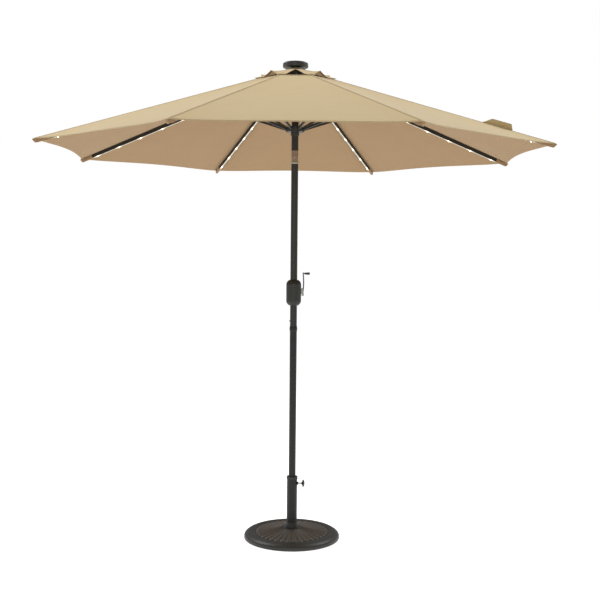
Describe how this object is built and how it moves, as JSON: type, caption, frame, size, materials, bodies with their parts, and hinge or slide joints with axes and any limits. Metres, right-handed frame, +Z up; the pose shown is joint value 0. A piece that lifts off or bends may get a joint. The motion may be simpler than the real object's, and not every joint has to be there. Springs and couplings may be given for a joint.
{
  "type": "patio umbrella with base",
  "caption": "Market umbrella on a round cast base: a crank lifts the runner, ribs and struts fold, the head tilts, and lit strips line the ribs under a vented canopy.",
  "frame": {"origin": "centre of the base's underside, on the ground", "axes": "+Z up along the pole, +X towards the crank and the clamp knob, -Y towards the viewer"},
  "size_m": [2.4994, 2.4994, 2.552],
  "materials": {
    "cast_resin": "satin, dark bronze cast composite",
    "dark_steel": "satin dark bronze powder coat",
    "zinc": "zinc plated",
    "black_plastic": "matte",
    "housing_plastic": "satin",
    "silver_metal": "satin",
    "taupe_metal": "satin, bronze tinted",
    "cap_plastic": "gloss",
    "solar_glass": "gloss",
    "button_plastic": "gloss",
    "rib_steel": "satin black powder coat",
    "led_sleeve": "translucent white",
    "cloth": "woven polyester",
    "cord": "braided"
  },
  "bodies": {
    "base": {"base_plate": "cast_resin", "base_bolt": "zinc", "base_tube": "dark_steel", "pole_bushes": "black_plastic"},
    "knob": {"knob_screw": "zinc", "knob_head": "black_plastic"},
    "pole": {"lower_pole": "dark_steel", "mid_pole": "dark_steel", "housing_front": "housing_plastic", "housing_back": "housing_plastic", "housing_screws": "zinc", "shaft_bushes": "black_plastic", "tilt_socket": "taupe_metal", "tilt_pins": "zinc", "lift_cord_lower": "cord"},
    "snap_button": {"snap_button": "zinc"},
    "crank": {"crank_spool": "black_plastic", "crank_shaft": "zinc", "crank_hub": "silver_metal", "crank_arm": "dark_steel"},
    "crank_grip": {"crank_grip": "black_plastic"},
    "tilt_head": {"tilt_knuckle": "taupe_metal", "top_pole": "dark_steel", "hub": "black_plastic", "hub_pins": "zinc", "pulley": "black_plastic", "cap_base": "cap_plastic", "cap_cover": "cap_plastic", "solar_panel": "solar_glass", "lift_cord_upper": "cord", "lift_cord_fall": "cord", "canopy": "cloth", "vent_canopy": "cloth"},
    "runner": {"runner": "black_plastic"},
    "power_button": {"power_button": "button_plastic"},
    "rib_1": {"rib_1": "rib_steel", "led_strip_1": "led_sleeve"},
    "strut_1": {"strut_1": "rib_steel"},
    "rib_2": {"rib_2": "rib_steel", "led_strip_2": "led_sleeve"},
    "strut_2": {"strut_2": "rib_steel"},
    "rib_3": {"rib_3": "rib_steel", "led_strip_3": "led_sleeve"},
    "strut_3": {"strut_3": "rib_steel"},
    "rib_4": {"rib_4": "rib_steel", "led_strip_4": "led_sleeve"},
    "strut_4": {"strut_4": "rib_steel"},
    "rib_5": {"rib_5": "rib_steel", "led_strip_5": "led_sleeve"},
    "strut_5": {"strut_5": "rib_steel"},
    "rib_6": {"rib_6": "rib_steel", "led_strip_6": "led_sleeve"},
    "strut_6": {"strut_6": "rib_steel"},
    "rib_7": {"rib_7": "rib_steel", "led_strip_7": "led_sleeve"},
    "strut_7": {"strut_7": "rib_steel"},
    "rib_8": {"rib_8": "rib_steel", "led_strip_8": "led_sleeve", "closure_strap": "cloth"},
    "strut_8": {"strut_8": "rib_steel"}
  },
  "joints": [
    {"name": "knob_turn", "type": "hinge", "parent": "base", "child": "knob", "pos_m": [0.05, 0, 0.296], "axis": [1, 0, 0], "range_deg": [0, 720]},
    {"name": "pole_swivel", "type": "hinge", "parent": "base", "child": "pole", "pos_m": [0, 0, 0.3], "axis": [0, 0, 1], "range_deg": [-180, 180]},
    {"name": "snap_press", "type": "slide", "parent": "pole", "child": "snap_button", "axis": [1, 0, 0], "range_m": [0, 0.005], "stiffness_N_per_m": 800, "springref_m": -0.002},
    {"name": "tilt", "type": "hinge", "parent": "pole", "child": "tilt_head", "pos_m": [0, 0, 2.05], "axis": [0, 1, 0], "range_deg": [-30, 0]},
    {"name": "runner_slide", "type": "slide", "parent": "tilt_head", "child": "runner", "axis": [0, 0, -1], "range_m": [0, 0.59872], "deforming": ["canopy", "vent_canopy", "lift_cord_fall"]},
    {"name": "crank_turn", "type": "hinge", "parent": "pole", "child": "crank", "pos_m": [0, 0, 1.331], "axis": [1, 0, 0], "range_deg": [0, 2881]},
    {"name": "grip_spin", "type": "hinge", "parent": "crank", "child": "crank_grip", "pos_m": [0.07, 0, 1.434], "axis": [1, 0, 0], "continuous": true},
    {"name": "power_press", "type": "slide", "parent": "tilt_head", "child": "power_button", "axis": [-0.9063, 0.4226, 0], "range_m": [0, 0.0015], "stiffness_N_per_m": 900, "springref_m": -0.001},
    {"name": "rib_1_fold", "type": "hinge", "parent": "tilt_head", "child": "rib_1", "pos_m": [0.0388, 0.01607, 2.495], "axis": [-0.3827, 0.9239, 0], "range_deg": [0, 68.01]},
    {"name": "strut_1_fold", "type": "hinge", "parent": "rib_1", "child": "strut_1", "pos_m": [0.42935, 0.17784, 2.33977], "axis": [-0.3827, 0.9239, 0], "range_deg": [-137.61, 0]},
    {"name": "rib_2_fold", "type": "hinge", "parent": "tilt_head", "child": "rib_2", "pos_m": [0.01607, 0.0388, 2.495], "axis": [-0.9239, 0.3827, 0], "range_deg": [0, 68.01]},
    {"name": "strut_2_fold", "type": "hinge", "parent": "rib_2", "child": "strut_2", "pos_m": [0.17784, 0.42935, 2.33977], "axis": [-0.9239, 0.3827, 0], "range_deg": [-137.61, 0]},
    {"name": "rib_3_fold", "type": "hinge", "parent": "tilt_head", "child": "rib_3", "pos_m": [-0.01607, 0.0388, 2.495], "axis": [-0.9239, -0.3827, 0], "range_deg": [0, 68.01]},
    {"name": "strut_3_fold", "type": "hinge", "parent": "rib_3", "child": "strut_3", "pos_m": [-0.17784, 0.42935, 2.33977], "axis": [-0.9239, -0.3827, 0], "range_deg": [-137.61, 0]},
    {"name": "rib_4_fold", "type": "hinge", "parent": "tilt_head", "child": "rib_4", "pos_m": [-0.0388, 0.01607, 2.495], "axis": [-0.3827, -0.9239, 0], "range_deg": [0, 68.01]},
    {"name": "strut_4_fold", "type": "hinge", "parent": "rib_4", "child": "strut_4", "pos_m": [-0.42935, 0.17784, 2.33977], "axis": [-0.3827, -0.9239, 0], "range_deg": [-137.61, 0]},
    {"name": "rib_5_fold", "type": "hinge", "parent": "tilt_head", "child": "rib_5", "pos_m": [-0.0388, -0.01607, 2.495], "axis": [0.3827, -0.9239, 0], "range_deg": [0, 68.01]},
    {"name": "strut_5_fold", "type": "hinge", "parent": "rib_5", "child": "strut_5", "pos_m": [-0.42935, -0.17784, 2.33977], "axis": [0.3827, -0.9239, 0], "range_deg": [-137.61, 0]},
    {"name": "rib_6_fold", "type": "hinge", "parent": "tilt_head", "child": "rib_6", "pos_m": [-0.01607, -0.0388, 2.495], "axis": [0.9239, -0.3827, 0], "range_deg": [0, 68.01]},
    {"name": "strut_6_fold", "type": "hinge", "parent": "rib_6", "child": "strut_6", "pos_m": [-0.17784, -0.42935, 2.33977], "axis": [0.9239, -0.3827, 0], "range_deg": [-137.61, 0]},
    {"name": "rib_7_fold", "type": "hinge", "parent": "tilt_head", "child": "rib_7", "pos_m": [0.01607, -0.0388, 2.495], "axis": [0.9239, 0.3827, 0], "range_deg": [0, 68.01]},
    {"name": "strut_7_fold", "type": "hinge", "parent": "rib_7", "child": "strut_7", "pos_m": [0.17784, -0.42935, 2.33977], "axis": [0.9239, 0.3827, 0], "range_deg": [-137.61, 0]},
    {"name": "rib_8_fold", "type": "hinge", "parent": "tilt_head", "child": "rib_8", "pos_m": [0.0388, -0.01607, 2.495], "axis": [0.3827, 0.9239, 0], "range_deg": [0, 68.01]},
    {"name": "strut_8_fold", "type": "hinge", "parent": "rib_8", "child": "strut_8", "pos_m": [0.42935, -0.17784, 2.33977], "axis": [0.3827, 0.9239, 0], "range_deg": [-137.61, 0]}
  ],
  "couplings": [
    {"joint": "crank_turn", "follows": "runner_slide", "rad_per_m": 83.955},
    {"joint": "rib_1_fold", "follows": "runner_slide", "rad_per_m": 1.9823},
    {"joint": "strut_1_fold", "follows": "runner_slide", "rad_per_m": -4.0113},
    {"joint": "rib_2_fold", "follows": "runner_slide", "rad_per_m": 1.9823},
    {"joint": "strut_2_fold", "follows": "runner_slide", "rad_per_m": -4.0113},
    {"joint": "rib_3_fold", "follows": "runner_slide", "rad_per_m": 1.9823},
    {"joint": "strut_3_fold", "follows": "runner_slide", "rad_per_m": -4.0113},
    {"joint": "rib_4_fold", "follows": "runner_slide", "rad_per_m": 1.9823},
    {"joint": "strut_4_fold", "follows": "runner_slide", "rad_per_m": -4.0113},
    {"joint": "rib_5_fold", "follows": "runner_slide", "rad_per_m": 1.9823},
    {"joint": "strut_5_fold", "follows": "runner_slide", "rad_per_m": -4.0113},
    {"joint": "rib_6_fold", "follows": "runner_slide", "rad_per_m": 1.9823},
    {"joint": "strut_6_fold", "follows": "runner_slide", "rad_per_m": -4.0113},
    {"joint": "rib_7_fold", "follows": "runner_slide", "rad_per_m": 1.9823},
    {"joint": "strut_7_fold", "follows": "runner_slide", "rad_per_m": -4.0113},
    {"joint": "rib_8_fold", "follows": "runner_slide", "rad_per_m": 1.9823},
    {"joint": "strut_8_fold", "follows": "runner_slide", "rad_per_m": -4.0113}
  ]
}
